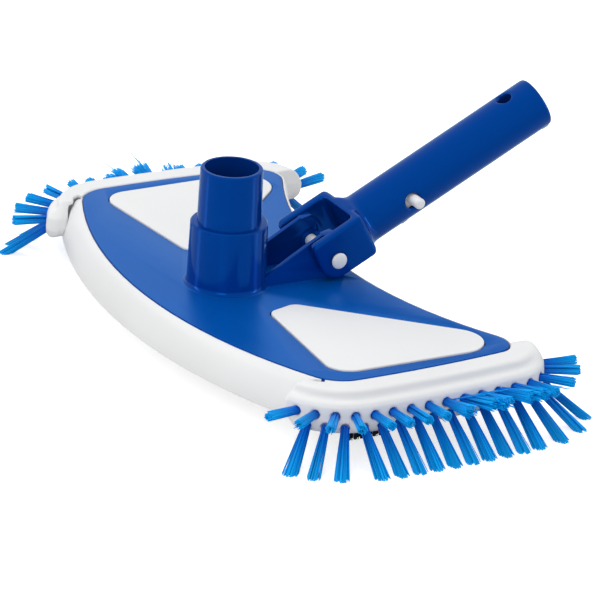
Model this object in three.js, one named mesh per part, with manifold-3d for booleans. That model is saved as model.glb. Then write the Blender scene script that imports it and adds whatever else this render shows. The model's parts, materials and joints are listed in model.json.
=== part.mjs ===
// Pool floor and wall head: a crescent suction head with bristled end bumpers,
// a stepped hose cuff and a tilting handle that plugs into a pole.
// Millimetres, +Z up, +X along the head, +Y towards the handle. The floor is z = 0.

import * as THREE from 'three';
import { mergeVertices } from 'three/addons/utils/BufferGeometryUtils.js';
import Module from 'manifold-3d';

const wasm = await Module();
wasm.setup();

// ---------------------------------------------------------------- driving dimensions

const gap = 0.3;                       // between seated pieces
const past = 1;                        // reach of a cutter past what it cuts

const plate = {
  top: 36.5,                           // height of the blue deck above the floor
  thickness: 3.2,
  edgeRound: 0.5,
  frontY: -46.5,                       // middle of the front edge, from the cuff axis
  frontRadius: 286,
  rearY: 66.5,                         // middle of the hollow rear edge
  rearRadius: 245,
  endX: 137.5,                         // widest point of the end edge
  endY: 8,
  endRadius: 650,
  frontCorner: 20,
  rearCorner: 13,
};

const base = { underside: 15, floorThickness: 3.6, wall: 2.6 };

// The base's wall flares out round the front and the rear of the deck.
const skirt = {
  front: 5.8,                          // reach beyond the middle of the deck's front edge
  flatten: 53,                         // added to the radius of the front edge
  rear: 4.8,
  tuck: 4,                             // length that runs in under the end bumpers
  section: [[15, 0.92], [17, 0.98], [25, 0.78], [31.5, 0.58], [34.6, 0.38], [36.2, 0.18]],
};

const mouth = { halfLength: 68, halfWidth: 9.5, endRound: 9, centreY: 27 };

const cuff = {
  height: 62.8,                        // above the deck
  stepHeight: 33.6,
  bore: 13.9,
  rimRadius: 16.05,
  upperRadius: 16.5,
  lowerRadius: 19.9,
  footRadius: 20.4,
  footFillet: 2.4,
  rimRound: 0.7,
};

const cover = { proud: 0.8, thickness: 3, ledge: 2.2, edgeRound: 0.6 };
const coverCorners = [[44.5, 0.3, 6], [128.3, -7, 13], [128.3, 109.2, 16], [39.3, 17.4, 7]];
const pocket = { wall: 1.8, floor: 1.8, depth: 12 };

const cap = {
  rim: 0.3,                            // top of the bumper above the deck
  underside: 15,
  upperTier: 12.8,                     // reach beyond the deck's end and front edges
  lowerTier: 18.3,
  rearUpper: 8.5,                      // reach beyond the hollow rear edge
  rearLower: 15,
  rearCornerUpper: 23,
  rearCornerLower: 28,
  tierHeight: 4.8,                     // side wall of the upper tier
  roof: 2.2,                           // thickness over the tucked ends of the skirt
  frontRun: 14,                        // how far it follows the front edge past the corner
  rearRun: 30,
  rearEnd: 13,                         // rear end face, in from the deck's widest point
  underRound: 12.4,                    // rounding under both ends
};

// The front end of a bumper is a finger: it leaves the deck's corner and ends in a half circle.
const finger = {
  fromCorner: [10.3, -30.3],           // middle of the half circle, from the corner's centre
  heading: 61.9,                       // direction from its end towards the corner
  halfWidth: 4.75,
  length: 15.4,
  upperBack: 5.5,                      // the upper tier ends this much sooner
};

const band = { thickness: 2.3, low: 17, high: 29, frontRun: 0, rearRun: 12, rearMargin: 1.5 };

const lug = {
  halfWidth: 5.5,
  reach: 7.3,
  root: 3,                             // part that is inside the bumper
  screwIn: 4.5,                        // screw's distance from the deck's end
  low: 21,
  high: 27,
  skin: 0.8,                           // left over the screw's hole
  ys: [12, 50],
};

const tuft = {
  upperCount: 17,
  lowerCount: 16,
  frontMargin: 2.8,                    // from the band's front end to the first tuft
  rearMargin: 36,
  pitch: 5,                            // the lower row starts this much later
  upperHeight: 26.5,
  lowerHeight: 20.2,
  upperReach: 20,
  upperRise: 1.5,
  lowerReach: 26,
  rootSpread: 1.15,
  upperFan: [2.1, 5.5],                // half width and half height of the fan at the tips
  lowerFan: [2.1, 2.1],
  strand: 0.62,
  strandTip: 0.72,
};

const floorBrush = {
  frontInset: 25,                      // centre line, in from the head's front edge
  rearInset: 8,
  halfWidth: 2,
  thickness: 2,
  count: 22,
  margin: 2.5,                         // from the last tuft to the strip's end
  frontHalfLength: 127.5,
  rearHalfLength: 104,
  spread: 0.95,
  fan: [1.5, 1.5],
  strand: 0.6,
  intoFloor: 1,                        // cut off flat at the floor
};

const screw = {
  shaft: 1.3,
  head: 2.7,
  headHeight: 2,
  socket: 1.2,
  socketDepth: 1.2,
  point: 0.5,
  pointLength: 0.8,
  clearance: 0.3,
  tipGap: 0.5,
  sides: 8,
};
const post = { radius: 3.7, height: 6, sides: 10, skin: 1.5 };
const screwPlaces = [[34, -30], [96, -16], [24, 50], [66, 60]];

const bracket = {
  inner: 9.8,                          // half the space between the ears
  thickness: 4.7,
  rimDepth: 2.4,
  recess: 1.1,
  endY: 49.5,
  endAbove: 15.3,                      // centre of the rounded end above the deck
  endRadius: 11,
  slope: 30.5,
  footY: 12,
  eye: 5.6,
};

const pivot = {
  y: 54,
  above: 11.2,                         // pin axis above the deck
  pinRadius: 3.3,
  clearance: 0.1,
  headRadius: 4.3,
  headHeight: 1.4,
  domeFrom: 0.6,                       // the head's side, as a share of its height
  domeFlat: 0.75,                      // the flat on top, as a share of its radius
  sides: 24,
};

const fork = {
  tilt: 26.8,                          // handle angle above the floor, as it stands
  halfWidth: 20,
  slotHalfWidth: 15,
  cheekRadius: 10,
  top: 14.8,
  webInner: 17.6,
  rear: 22,
  slotCorner: 3,
  edgeCorner: 3,
};

const tube = {
  radius: 13.6,
  bore: 11.1,
  end: 139,                            // from the pivot to the open end
  rimRound: 0.7,
  flare: 3,                            // where the tube runs into the fork
  flareLength: 5.5,
  flareCurve: [[1, 0], [0.42, 0.24], [0.12, 0.58]],
  floor: 25,                           // start of the bore
  crossHoleAt: 123,
  crossHole: 3.9,
  padAt: 43.4,
  padLength: 5,
  padHeight: 1.2,
  padWidth: 8,
};

const clip = {
  buttonAt: 52.5,
  buttonRadius: 2.9,
  buttonOut: 6.4,                      // beyond the tube
  buttonDome: [[1, 1.2], [0.72, 0.3]], // share of the radius, and distance from the tip
  holeRadius: 4.2,
  holeShift: 1,                        // the hole is set back so the button can tip in
  thickness: 1.8,
  width: 8,
  bendAt: 105,
  bendRadius: 4.1,
  spread: 8.6,                         // half the distance between the arms at the buttons
  armEnd: 47,
};

// ---------------------------------------------------------------- materials

const plastic = (color, roughness) => new THREE.MeshStandardMaterial({ color, roughness, metalness: 0 });
const blue = plastic(0x0b4fa0, 0.25);
const white = plastic(0xeceef0, 0.45);
const bristleBlue = plastic(0x0a6fd0, 0.6);
const bristleBlack = plastic(0x151518, 0.7);
const steel = new THREE.MeshStandardMaterial({ color: 0xb8bcc0, roughness: 0.35, metalness: 1 });

// ---------------------------------------------------------------- solids

const degrees = THREE.MathUtils.degToRad;
const point = (x, y) => new THREE.Vector2(x, y);

// A manifold solid from a closed surface, with its faces pointing out.
function toSolid(geometry) {
  const bare = new THREE.BufferGeometry();
  bare.setAttribute('position', geometry.getAttribute('position').clone());
  if (geometry.index) bare.setIndex(geometry.index.clone());
  const merged = mergeVertices(bare, 1e-4);
  const positions = merged.attributes.position.array;
  const corner = (i) => new THREE.Vector3().fromArray(positions, 3 * i);
  const faces = [];
  let volume = 0;
  for (let i = 0; i < merged.index.count; i += 3) {
    const [a, b, c] = merged.index.array.slice(i, i + 3);
    if (a === b || b === c || c === a) continue;
    faces.push([a, b, c]);
    volume += corner(a).dot(corner(b).cross(corner(c)));
  }
  const outward = volume > 0 ? faces : faces.map(([a, b, c]) => [a, c, b]);
  return new wasm.Manifold(new wasm.Mesh({
    numProp: 3,
    vertProperties: new Float32Array(positions),
    triVerts: new Uint32Array(outward.flat()),
  }));
}

function toGeometry(solid) {
  const mesh = solid.getMesh();
  const geometry = new THREE.BufferGeometry();
  geometry.setAttribute('position', new THREE.BufferAttribute(mesh.vertProperties.slice(), 3));
  geometry.setIndex(new THREE.BufferAttribute(mesh.triVerts.slice(), 1));
  geometry.computeVertexNormals();
  return geometry;
}

const joinAll = (solids) => solids.reduce((whole, piece) => whole.add(piece));
const cutAll = (solid, cuts) => cuts.reduce((rest, cut) => rest.subtract(cut), solid);
const placed = (solid, matrix) => toSolid(toGeometry(solid).applyMatrix4(matrix));
const shifted = (solid, x, y, z) => placed(solid, new THREE.Matrix4().makeTranslation(x, y, z));
const flipped = (solid) => placed(solid, new THREE.Matrix4().makeScale(-1, 1, 1));

// A closed skin through loops of equal length, one above another.
function loft(rings) {
  const count = rings[0].loop.length;
  const positions = rings.flatMap(({ loop, z }) => loop.flatMap((p) => [p.x, p.y, z]));
  const index = [];
  for (let level = 0; level + 1 < rings.length; level += 1) {
    for (let i = 0; i < count; i += 1) {
      const a = level * count + i;
      const b = level * count + (i + 1) % count;
      index.push(a, b, b + count, a, b + count, a + count);
    }
  }
  const addLid = (level, flip) => {
    const shift = level * count;
    const faces = THREE.ShapeUtils.triangulateShape(rings[level].loop, []);
    for (const [a, b, c] of faces) index.push(a + shift, (flip ? c : b) + shift, (flip ? b : c) + shift);
  };
  addLid(0, true);
  addLid(rings.length - 1, false);
  const geometry = new THREE.BufferGeometry();
  geometry.setAttribute('position', new THREE.Float32BufferAttribute(positions, 3));
  geometry.setIndex(index);
  return toSolid(geometry);
}

const prism = (loop, low, high) => loft([{ loop, z: low }, { loop, z: high }]);

function box(x0, x1, y0, y1, z0, z1) {
  const geometry = new THREE.BoxGeometry(x1 - x0, y1 - y0, z1 - z0);
  return toSolid(geometry.translate((x0 + x1) / 2, (y0 + y1) / 2, (z0 + z1) / 2));
}

// A solid of revolution about Z from [radius, height] pairs.
function turned(profile, segments = 32) {
  const closed = [...profile, profile[0]].map(([r, z]) => point(r, z));
  return toSolid(new THREE.LatheGeometry(closed, segments).rotateX(Math.PI / 2));
}

const rod = (radius, low, high, segments = 16) =>
  turned([[0, low], [radius, low], [radius, high], [0, high]], segments);

// Turns a solid built about Z so that its Z runs along X, or along Y.
const alongX = new THREE.Matrix4().makeBasis(
  new THREE.Vector3(0, 1, 0), new THREE.Vector3(0, 0, 1), new THREE.Vector3(1, 0, 0));
const alongY = new THREE.Matrix4().makeBasis(
  new THREE.Vector3(0, 0, 1), new THREE.Vector3(1, 0, 0), new THREE.Vector3(0, 1, 0));

// ---------------------------------------------------------------- flat outlines

function arc(centre, radius, from, to, steps) {
  return Array.from({ length: steps + 1 }, (_, k) => {
    const angle = from + (to - from) * k / steps;
    return point(centre.x + radius * Math.cos(angle), centre.y + radius * Math.sin(angle));
  });
}

// Counter-clockwise polygon from [x, y, corner radius] triples.
function rounded(corners, steps = 5) {
  return corners.flatMap(([x, y, radius], i) => {
    const here = point(x, y);
    if (!radius) return [here];
    const back = point(...corners.at(i - 1)).sub(here).normalize();
    const ahead = point(...corners[(i + 1) % corners.length]).sub(here).normalize();
    const half = Math.acos(back.dot(ahead)) / 2;
    const centre = back.clone().add(ahead).normalize().multiplyScalar(radius / Math.sin(half)).add(here);
    const reach = radius / Math.tan(half);
    const start = back.multiplyScalar(reach).add(here).sub(centre).angle();
    const end = ahead.multiplyScalar(reach).add(here).sub(centre).angle();
    const sweep = THREE.MathUtils.euclideanModulo(end - start + Math.PI, 2 * Math.PI) - Math.PI;
    return arc(centre, radius, start, start + sweep, steps);
  });
}

// Moves a counter-clockwise loop outwards, or inwards with a negative distance.
function grown(loop, distance) {
  return loop.map((p, i) => {
    const before = p.clone().sub(loop.at(i - 1)).normalize();
    const after = loop[(i + 1) % loop.length].clone().sub(p).normalize();
    const normal = point(before.y + after.y, -before.x - after.x).normalize();
    const widen = 1 / Math.max(0.5, normal.dot(point(before.y, -before.x)));
    return p.clone().addScaledVector(normal, distance * widen);
  });
}

const mirroredLoop = (loop) => loop.map((p) => point(-p.x, p.y)).reverse();

// Where two circles cross, on the +X side of the head.
function crossing(c1, r1, c2, r2) {
  const line = c2.clone().sub(c1);
  const distance = line.length();
  const reach = (r1 * r1 - r2 * r2 + distance * distance) / (2 * distance);
  const height = Math.sqrt(r1 * r1 - reach * reach);
  line.normalize();
  return c1.clone().addScaledVector(line, reach).add(point(-line.y, line.x).multiplyScalar(height));
}

const angleTo = (from, to) => Math.atan2(to.y - from.y, to.x - from.x);
const frontCentre = point(0, plate.frontY + plate.frontRadius);
const rearCentre = point(0, plate.rearY + plate.rearRadius);
const endCentre = point(plate.endX - plate.endRadius, plate.endY);

// The right-hand edge of the head, from front to rear: front arc, corner, end arc, corner
// and hollow rear arc. Each edge is moved out by its own amount. The front and rear arcs
// go on past the corners by a length of frontRun and rearRun, at most to the middle.
function edgePath({ front, flatten = 0, end, rear, frontCorner, rearCorner }, frontRun, rearRun) {
  const frontMiddle = point(0, frontCentre.y + flatten);
  const frontR = plate.frontRadius + front + flatten;
  const endR = plate.endRadius + end;
  const rearR = plate.rearRadius - rear;
  const c1 = crossing(frontMiddle, frontR - frontCorner, endCentre, endR - frontCorner);
  const c2 = crossing(rearCentre, rearR + rearCorner, endCentre, endR - rearCorner);
  const runTo = (angle, run, radius) => Math.max(-Math.PI / 2, angle - run / radius);
  const frontAngle = angleTo(frontMiddle, c1);
  const rearAngle = angleTo(rearCentre, c2);
  const steps = (run) => Math.max(2, Math.round(Math.min(run, plate.endX) / 14));
  return [
    ...frontRun ? [arc(frontMiddle, frontR, runTo(frontAngle, frontRun, frontR), frontAngle, steps(frontRun))] : [],
    arc(c1, frontCorner, frontAngle, angleTo(endCentre, c1), 6),
    arc(endCentre, endR, angleTo(endCentre, c1), angleTo(endCentre, c2), 5),
    arc(c2, rearCorner, angleTo(endCentre, c2), angleTo(c2, rearCentre), 6),
    arc(rearCentre, rearR, rearAngle, runTo(rearAngle, rearRun, rearR), steps(rearRun)),
  ].flatMap((points, i) => (i ? points.slice(1) : points));
}

// The whole outline of the head, moved in by inset and flared by a share of the skirt's reach.
function headLoop(inset, flare = 0) {
  const right = edgePath({
    front: flare * skirt.front - inset,
    flatten: flare * skirt.flatten,
    end: -inset,
    rear: flare * skirt.rear - inset,
    frontCorner: plate.frontCorner - inset,
    rearCorner: plate.rearCorner - inset,
  }, Infinity, Infinity);
  return [...right, ...mirroredLoop(right).slice(1, -1)];
}

// The bumper's outer edge: 0 is the upper tier, 1 the lower one.
function bumperEdge(tier, inset, frontRun, rearRun) {
  const mix = (a, b) => THREE.MathUtils.lerp(a, b, tier) - inset;
  const reach = mix(cap.upperTier, cap.lowerTier);
  return edgePath({
    front: reach,
    end: reach,
    rear: mix(cap.rearUpper, cap.rearLower),
    frontCorner: plate.frontCorner + reach,
    rearCorner: mix(cap.rearCornerUpper, cap.rearCornerLower),
  }, frontRun, rearRun);
}

const between = (outer, inner) => [...outer, ...inner.slice().reverse()];
const bothSides = (places) => places.flatMap(([x, y]) => [[x, y], [-x, y]]);

const cornerRadius = plate.frontRadius - plate.frontCorner;
const cornerCentre = crossing(frontCentre, cornerRadius, endCentre, plate.endRadius - plate.frontCorner);
const fingerEnd = cornerCentre.clone().add(point(...finger.fromCorner));
const along = point(Math.cos(degrees(finger.heading)), Math.sin(degrees(finger.heading)));
const across = point(along.y, -along.x);
const fingerRoot = fingerEnd.clone()
  .addScaledVector(along, finger.length)
  .addScaledVector(across, -finger.halfWidth);
const rearEndX = plate.endX - cap.rearEnd;
const beyond = 200;                    // reaches past the head in every direction

// Everything on the bumper's side of its inner front edge, moved out by tuck, and of its rear end.
function bumperSide(tuck) {
  const start = fingerRoot.clone().addScaledVector(across, tuck);
  return [
    start.clone().addScaledVector(along, -beyond),
    point(2 * beyond, -2 * beyond),
    point(2 * beyond, beyond),
    point(rearEndX - gap, beyond),
    point(rearEndX - gap, plate.endY),
    start,
  ];
}

const deckUnder = plate.top - plate.thickness;
const wallTop = deckUnder - gap;
const floorTop = base.underside + base.floorThickness;
const postFoot = deckUnder - post.height;
const coverLoop = rounded(coverCorners);
const hollowLoop = grown(coverLoop, -cover.ledge);
const ledgeZ = plate.top + cover.proud - cover.thickness - gap;
const pocketFloor = plate.top - pocket.depth;
const capTop = plate.top + cap.rim;
const cuffTop = plate.top + cuff.height;
const pivotZ = plate.top + pivot.above;
const pinHole = pivot.pinRadius + pivot.clearance;
const screwHole = screw.shaft + screw.clearance;
const screwRecess = screw.head + screw.clearance;
const screwHeadZ = base.underside + gap;
const endXAt = (y) => endCentre.x + Math.sqrt(plate.endRadius ** 2 - (y - plate.endY) ** 2);
const lugScrewPlaces = lug.ys.map((y) => [endXAt(y) - lug.screwIn, y]);

// ---------------------------------------------------------------- top plate

function cuffBody() {
  const shoulder = plate.top + cuff.stepHeight;
  const fillet = arc(point(cuff.footRadius + cuff.footFillet, plate.top + cuff.footFillet),
    cuff.footFillet, -Math.PI / 2, -Math.PI, 4);
  return turned([
    [0, deckUnder + gap],
    [cuff.footRadius + cuff.footFillet, deckUnder + gap],
    ...fillet.map((p) => [p.x, p.y]),
    [cuff.lowerRadius, shoulder - cuff.rimRound],
    [cuff.lowerRadius - cuff.rimRound, shoulder],
    [cuff.upperRadius, shoulder],
    [cuff.rimRadius, cuffTop - cuff.rimRound],
    [cuff.rimRadius - cuff.rimRound, cuffTop],
    [0, cuffTop],
  ], 40);
}

// One ear in the YZ plane: a rounded end over the pivot and a straight edge down to the cuff.
function earLoop(inset) {
  const centre = point(bracket.endY, plate.top + bracket.endAbove);
  const radius = bracket.endRadius - inset;
  const slope = degrees(bracket.slope);
  const end = arc(centre, radius, 0, Math.PI / 2 + slope, 8);
  const tangent = end.at(-1);
  const foot = plate.top - (inset ? 0 : plate.thickness / 2);
  const frontY = bracket.footY + inset;
  return [
    point(frontY, foot),
    point(centre.x + radius, foot),
    ...end,
    point(frontY, tangent.y - (tangent.x - frontY) * Math.tan(slope)),
  ];
}

function ear() {
  const outer = bracket.inner + bracket.thickness;
  const solid = placed(prism(earLoop(0), bracket.inner, outer), alongX);
  const eye = placed(rod(bracket.eye, 0, outer + past, 20), alongX);
  const hollow = (low, high) =>
    placed(prism(earLoop(bracket.rimDepth), low, high), alongX)
      .subtract(shifted(eye, 0, pivot.y, pivotZ));
  return cutAll(solid, [
    hollow(bracket.inner - past, bracket.inner + bracket.recess),
    hollow(outer - bracket.recess, outer + past),
  ]);
}

function topPlate() {
  const round = plate.edgeRound;
  const slab = loft([
    { loop: headLoop(0), z: deckUnder },
    { loop: headLoop(0), z: plate.top - round },
    { loop: headLoop(round), z: plate.top },
  ]);
  const tub = prism(grown(hollowLoop, pocket.wall), pocketFloor - pocket.floor, deckUnder + gap);
  const seat = prism(grown(coverLoop, gap), ledgeZ, plate.top + past);
  const hollow = prism(hollowLoop, pocketFloor, plate.top + past);
  const posts = bothSides(screwPlaces).map(([x, y]) =>
    shifted(rod(post.radius, postFoot, deckUnder + gap, post.sides), x, y, 0));
  const screwHoles = bothSides(screwPlaces).map(([x, y]) =>
    shifted(rod(screwHole, postFoot - past, plate.top - post.skin, post.sides), x, y, 0));
  const body = joinAll([slab, tub, flipped(tub), cuffBody(), ear(), flipped(ear()), ...posts]);
  return cutAll(body, [
    seat, flipped(seat), hollow, flipped(hollow), ...screwHoles,
    rod(cuff.bore, deckUnder - past, cuffTop + past, 40),
    shifted(placed(rod(pinHole, -fork.halfWidth, fork.halfWidth, pivot.sides), alongX), 0, pivot.y, pivotZ),
  ]);
}

// ---------------------------------------------------------------- base shell

const brushRows = [
  {
    name: 'front',
    centre: frontCentre,
    radius: plate.frontRadius - floorBrush.frontInset,
    halfLength: floorBrush.frontHalfLength,
  },
  {
    name: 'rear',
    centre: rearCentre,
    radius: plate.rearRadius + floorBrush.rearInset,
    halfLength: floorBrush.rearHalfLength,
  },
];

// The outline of a floor brush's strip, widened by extra.
function stripLoop({ centre, radius, halfLength }, extra) {
  const edge = (r, sign) => {
    const reach = Math.asin((halfLength + extra) / radius);
    return arc(centre, r, -Math.PI / 2 - sign * reach, -Math.PI / 2 + sign * reach, 12);
  };
  const halfWidth = floorBrush.halfWidth + extra;
  return [...edge(radius + halfWidth, 1), ...edge(radius - halfWidth, -1)];
}

// The flared wall, with its front ends lowered to pass under the bumpers.
function flaredSkirt() {
  const whole = loft(skirt.section.map(([z, share]) => ({ loop: headLoop(0, share), z })));
  const ends = prism(bumperSide(skirt.tuck), base.underside - past, plate.top + past);
  const overTuck = prism(bumperSide(-gap), capTop - cap.roof - gap, plate.top + past);
  return cutAll(whole, [ends, flipped(ends), overTuck, flipped(overTuck)]);
}

function baseShell() {
  const core = prism(headLoop(0), base.underside, wallTop);
  const room = prism(headLoop(base.wall), floorTop, plate.top);
  const deckSeat = prism(headLoop(-gap), wallTop, plate.top + past);
  const boss = (high) => ([x, y]) => shifted(rod(post.radius, floorTop - past, high, post.sides), x, y, 0);
  const bosses = bothSides(screwPlaces).map(boss(postFoot - gap));
  const lugBosses = bothSides(lugScrewPlaces).map(boss(lug.low - gap));
  const { halfLength, halfWidth, endRound, centreY } = mouth;
  const slot = prism(rounded([
    [-halfLength, centreY - halfWidth, endRound],
    [halfLength, centreY - halfWidth, endRound],
    [halfLength, centreY + halfWidth, endRound],
    [-halfLength, centreY + halfWidth, endRound],
  ]), base.underside - past, floorTop + past);
  const grooveTop = base.underside + gap + floorBrush.thickness + gap;
  const lugSlots = lug.ys.map((y) => box(endXAt(y) - base.wall - past, plate.endX + past,
    y - lug.halfWidth - gap, y + lug.halfWidth + gap, lug.low - gap, lug.high + gap));
  const holes = bothSides([...screwPlaces, ...lugScrewPlaces]).flatMap(([x, y]) => [
    shifted(rod(screwHole, base.underside - past, wallTop, post.sides), x, y, 0),
    shifted(rod(screwRecess, base.underside - past, screwHeadZ + screw.headHeight + gap, post.sides), x, y, 0),
  ]);
  return cutAll(joinAll([cutAll(core.add(flaredSkirt()), [room, deckSeat]), ...bosses, ...lugBosses]), [
    slot,
    ...brushRows.map((row) => prism(stripLoop(row, gap), base.underside - past, grooveTop)),
    ...lugSlots, ...lugSlots.map(flipped), ...holes,
  ]);
}

// ---------------------------------------------------------------- end bumpers

const tierFoot = capTop - cap.tierHeight;
const capSection = [                   // height, share of the lower tier, inset
  [cap.underside, 1, 1.5],
  [cap.underside + 1.5, 1, 0],
  [band.high + gap, 1, 0],
  [band.high + 1.8, 1, 1],
  [tierFoot - 0.4, 0.4, 0],
  [tierFoot + 0.9, 0, 0],
  [capTop - 1, 0, 0.1],
  [capTop - 0.3, 0, 0.6],
  [capTop, 0, 1.6],
];

// What lies in front of the finger, whose end is set back by a length.
function aheadOfFinger(back) {
  const middle = fingerEnd.clone().addScaledVector(along, back);
  const aside = middle.clone().addScaledVector(across, beyond);
  return [
    fingerRoot,
    point(fingerRoot.x - beyond, fingerRoot.y),
    point(fingerRoot.x - beyond, -2 * beyond),
    aside.clone().addScaledVector(along, -beyond),
    aside,
    ...arc(middle, finger.halfWidth, across.angle(), across.angle() - Math.PI, 6),
  ];
}

// What lies under the rounding of a bumper's end that starts at x, from y0 to y1.
function underEnd(x, y0, y1) {
  const radius = cap.underRound;
  const turn = arc(point(x + radius, cap.underside + radius), radius, -Math.PI / 2, -Math.PI, 5);
  const outline = [point(x - radius, 0), point(x + radius, 0), ...turn, point(x - radius, turn.at(-1).y)];
  return placed(prism(outline, -y1, -y0), new THREE.Matrix4().makeRotationX(Math.PI / 2));
}

// A box over the head's rear, up to the bumper's end face or further.
const rearSpace = (further) =>
  box(0, rearEndX + further, plate.rearY, beyond, cap.underside - past, capTop + past);

function brushCap() {
  const { frontRun, rearRun, underside } = cap;
  const inner = edgePath({
    front: gap,
    end: gap,
    rear: gap,
    frontCorner: plate.frontCorner + gap,
    rearCorner: plate.rearCorner + gap,
  }, frontRun, rearRun);
  const body = loft(capSection.map(([z, tier, inset]) =>
    ({ z, loop: between(bumperEdge(tier, inset, frontRun, rearRun), inner) })));
  const groove = prism(between(
    bumperEdge(1, -cap.roof, band.frontRun + gap, band.rearRun),
    bumperEdge(1, band.thickness + gap, band.frontRun + gap, band.rearRun),
  ), band.low - gap, band.high + gap).subtract(rearSpace(band.rearMargin - gap));
  const front = loft([
    { loop: aheadOfFinger(0), z: underside - past },
    { loop: aheadOfFinger(0), z: band.high },
    { loop: aheadOfFinger(finger.upperBack), z: tierFoot },
    { loop: aheadOfFinger(finger.upperBack), z: capTop + past },
  ]);
  const tuckRoom = prism(headLoop(-gap, 1), underside - past, capTop - cap.roof)
    .subtract(prism(bumperSide(skirt.tuck + gap), 0, capTop));
  const lowestX = fingerEnd.x - finger.halfWidth;
  const lugs = lug.ys.map((y) => box(endXAt(y) - lug.reach, endXAt(y) + lug.root,
    y - lug.halfWidth, y + lug.halfWidth, lug.low, lug.high));
  const lugHoles = lugScrewPlaces.map(([x, y]) =>
    shifted(rod(screwHole, lug.low - past, lug.high - lug.skin, post.sides), x, y, 0));
  const shaped = cutAll(body, [
    groove, front, rearSpace(0), tuckRoom,
    underEnd(lowestX, -beyond, fingerRoot.y), underEnd(rearEndX, plate.rearY, beyond),
  ]);
  return cutAll(joinAll([shaped, ...lugs]), lugHoles);
}

// ---------------------------------------------------------------- bristles

const offAxis = new THREE.Vector3(0.31, 0.17, 0.94);

// One three-sided strand from a to b, as loose triangles.
function strandFaces(a, b, startRadius, endRadius) {
  const axis = b.clone().sub(a).normalize();
  const side = offAxis.clone().cross(axis).normalize();
  const up = axis.clone().cross(side);
  const ring = (centre, radius) => [0, 1, 2].map((k) => {
    const turn = k * 2 * Math.PI / 3;
    return centre.clone()
      .addScaledVector(side, radius * Math.cos(turn))
      .addScaledVector(up, radius * Math.sin(turn));
  });
  const [a0, a1, a2] = ring(a, startRadius);
  const [b0, b1, b2] = ring(b, endRadius);
  return [a0, a2, a1, b0, b1, b2, a0, a1, b1, a0, b1, b0, a1, a2, b2, a1, b2, b1, a2, a0, b0, a2, b0, b2];
}

// Strands of one tuft stand round its centre line and fan out towards the tips.
function tuftFaces(root, tip, strands, rootSpread, [fanWidth, fanHeight], startRadius, endRadius) {
  const axis = tip.clone().sub(root).normalize();
  const side = new THREE.Vector3(0, 0, 1).cross(axis);
  if (side.length() < 0.1) side.set(1, 0, 0);
  side.normalize();
  const up = axis.clone().cross(side);
  return Array.from({ length: strands }, (_, k) => {
    const turn = (k + 0.5) * 2 * Math.PI / strands;
    const away = (centre, width, height) => centre.clone()
      .addScaledVector(side, width * Math.cos(turn))
      .addScaledVector(up, height * Math.sin(turn));
    return strandFaces(
      away(root, rootSpread, rootSpread), away(tip, fanWidth, fanHeight), startRadius, endRadius);
  }).flat();
}

function bristled(backing, faces) {
  const strands = toSolid(new THREE.BufferGeometry().setFromPoints(faces));
  const belowFloor = box(-beyond, beyond, -beyond, beyond, -beyond, 0);
  return backing.add(strands).subtract(belowFloor);
}

// Evenly spaced places along a path, each with the direction that points out of the head.
function placesAlong(path, count, first, last) {
  const lengths = path.slice(1).map((p, i) => p.distanceTo(path[i]));
  const total = lengths.reduce((sum, length) => sum + length);
  return Array.from({ length: count }, (_, k) => {
    let left = first + (total - first - last) * k / (count - 1);
    let i = 0;
    while (i < lengths.length - 1 && left > lengths[i]) {
      left -= lengths[i];
      i += 1;
    }
    const step = path[i + 1].clone().sub(path[i]).normalize();
    return { at: path[i].clone().addScaledVector(step, left), out: point(step.y, -step.x) };
  });
}

function sideBrush() {
  const edge = (inset) => bumperEdge(1, inset, band.frontRun, band.rearRun);
  const backing = prism(between(edge(0), edge(band.thickness)), band.low, band.high)
    .subtract(rearSpace(band.rearMargin));
  const rootDepth = band.thickness / 2;
  const row = (count, later, rootZ, reach, rise, fan) => {
    const places = placesAlong(edge(0), count, tuft.frontMargin + later, tuft.rearMargin + later);
    return places.flatMap(({ at, out }) => {
      const place = (distance) => new THREE.Vector3(
        at.x + out.x * distance, at.y + out.y * distance, rootZ + rise * distance / reach);
      return tuftFaces(place(-rootDepth), place(reach), 4, tuft.rootSpread, fan, tuft.strand, tuft.strandTip);
    });
  };
  const intoFloor = -tuft.lowerHeight - tuft.lowerFan[1];
  return bristled(backing, [
    ...row(tuft.upperCount, 0, tuft.upperHeight, tuft.upperReach, tuft.upperRise, tuft.upperFan),
    ...row(tuft.lowerCount, tuft.pitch, tuft.lowerHeight, tuft.lowerReach, intoFloor, tuft.lowerFan),
  ]);
}

function floorBristles(row) {
  const { centre, radius, halfLength } = row;
  const low = base.underside + gap;
  const backing = prism(stripLoop(row, 0), low, low + floorBrush.thickness);
  const reach = Math.asin((halfLength - floorBrush.margin) / radius);
  const places = arc(centre, radius, -Math.PI / 2 - reach, -Math.PI / 2 + reach, floorBrush.count - 1);
  return bristled(backing, places.flatMap((p) => tuftFaces(
    new THREE.Vector3(p.x, p.y, low + floorBrush.thickness / 2),
    new THREE.Vector3(p.x, p.y, -floorBrush.intoFloor),
    3, floorBrush.spread, floorBrush.fan, floorBrush.strand, floorBrush.strand)));
}

// ---------------------------------------------------------------- weights, covers and screws

function weightCover() {
  const low = ledgeZ + gap;
  const top = plate.top + cover.proud;
  return loft([
    { loop: coverLoop, z: low },
    { loop: coverLoop, z: top - cover.edgeRound },
    { loop: grown(coverLoop, -cover.edgeRound), z: top },
  ]);
}

const ballast = () => prism(grown(hollowLoop, -gap), pocketFloor + gap, ledgeZ);

function screwBody(length) {
  const { head: headRadius, headHeight, shaft } = screw;
  return turned([
    [0, 0], [headRadius, 0], [headRadius, headHeight], [shaft, headHeight],
    [shaft, length - screw.pointLength], [screw.point, length], [0, length],
  ], screw.sides).subtract(rod(screw.socket, -past, screw.socketDepth, 6));
}

const bodyScrewLength = plate.top - post.skin - screw.tipGap - screwHeadZ;
const capScrewLength = lug.high - lug.skin - screw.tipGap - screwHeadZ;

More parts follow.
